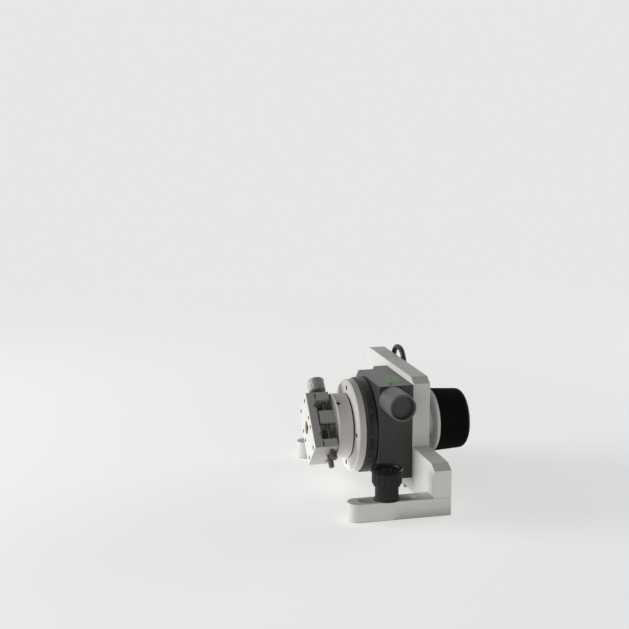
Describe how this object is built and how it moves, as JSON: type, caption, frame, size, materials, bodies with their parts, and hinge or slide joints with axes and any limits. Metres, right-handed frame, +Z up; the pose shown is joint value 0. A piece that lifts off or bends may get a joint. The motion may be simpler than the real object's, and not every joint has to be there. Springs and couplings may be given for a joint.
{
  "type": "rotation stage",
  "caption": "Hand-turned rotation stage: a slotted bracket carries a horizontal spindle with a graduated table, a small centring slide and a rear handwheel.",
  "frame": {"origin": "on the bracket's underside, straight below the spindle axis and half way through the upright plate", "axes": "+Z up; -Y is the front, where the table and slide are; the spindle axis runs along Y; +X towards the encoder tube"},
  "size_m": [0.1522, 0.1062, 0.0822],
  "materials": {
    "grey_bracket": "light grey powder coat, fine grain",
    "dark_housing": "dark grey anodised, satin",
    "dark_tube": "grey anodised, satin",
    "black_ring": "black anodised with white filled marks",
    "satin_aluminium": "fine turned, satin",
    "slide_metal": "milled, satin",
    "ground_steel": "ground",
    "dark_steel": "black oxide",
    "bronze": "bored bronze",
    "brass_bush": "aged brass",
    "black_grip": "black moulded, ribbed",
    "black_fitting": "black moulded",
    "black_lead": "black jacket"
  },
  "bodies": {
    "bracket": {"upright_plate": "grey_bracket", "near_foot": "grey_bracket", "far_foot": "grey_bracket", "foot_screws": "dark_steel", "gear_housing": "dark_housing", "housing_screws": "dark_steel", "oil_plug": "dark_steel", "front_bearing": "bronze", "rear_bearing": "bronze", "bearing_cover": "satin_aluminium", "encoder_tube": "dark_tube", "encoder_cap": "dark_housing", "encoder_lead": "black_lead", "lead_gland": "black_fitting", "lead_socket": "black_fitting"},
    "table": {"spindle": "ground_steel", "spindle_gear": "ground_steel", "scale_ring": "black_ring", "table_disc": "satin_aluminium", "hub": "satin_aluminium", "hub_screw": "dark_steel", "slide_saddle": "slide_metal", "wheel_face": "satin_aluminium", "wheel_grip": "black_grip", "spindle_nut": "ground_steel"},
    "encoder": {"encoder_shaft": "ground_steel", "code_disc": "satin_aluminium"},
    "slide": {"slide_plate": "slide_metal", "upper_end_block": "slide_metal", "lower_end_block": "slide_metal", "slide_screws": "ground_steel", "guide_rods": "ground_steel", "slide_bush": "brass_bush", "lock_screw": "ground_steel"},
    "slide_screw": {"lead_screw": "ground_steel"},
    "near_collar": {"near_clamp_collar": "black_grip"},
    "near_thumb_screw": {"near_clamp_screw": "black_grip"},
    "far_collar": {"far_clamp_collar": "black_grip"},
    "far_thumb_screw": {"far_clamp_screw": "black_grip"}
  },
  "joints": [
    {"name": "table_turn", "type": "hinge", "parent": "bracket", "child": "table", "pos_m": [0, 0, 0.0403], "axis": [0, 1, 0], "continuous": true},
    {"name": "encoder_turn", "type": "hinge", "parent": "bracket", "child": "encoder", "pos_m": [0, -0.01925, 0.0638], "axis": [1, 0, 0], "continuous": true},
    {"name": "slide_travel", "type": "slide", "parent": "table", "child": "slide", "axis": [0.682, 0, -0.7314], "range_m": [-0.003, 0.003]},
    {"name": "lead_screw_turn", "type": "hinge", "parent": "slide", "child": "slide_screw", "pos_m": [0, -0.05575, 0.0403], "axis": [0.682, 0, -0.7314], "range_deg": [-1080, 1080]},
    {"name": "near_clamp_slide", "type": "slide", "parent": "bracket", "child": "near_collar", "axis": [0, 1, 0], "range_m": [-0.013, 0.013]},
    {"name": "near_thumb_turn", "type": "hinge", "parent": "near_collar", "child": "near_thumb_screw", "pos_m": [0.0664, -0.0335, 0.02], "axis": [0, 0, 1], "range_deg": [0, 360]},
    {"name": "far_clamp_slide", "type": "slide", "parent": "bracket", "child": "far_collar", "axis": [0, 1, 0], "range_m": [-0.013, 0.013]},
    {"name": "far_thumb_turn", "type": "hinge", "parent": "far_collar", "child": "far_thumb_screw", "pos_m": [-0.0664, -0.0335, 0.02], "axis": [0, 0, 1], "range_deg": [0, 360]}
  ],
  "couplings": [
    {"joint": "encoder_turn", "follows": "table_turn", "ratio": -3},
    {"joint": "lead_screw_turn", "follows": "slide_travel", "rad_per_m": 6283.2}
  ]
}
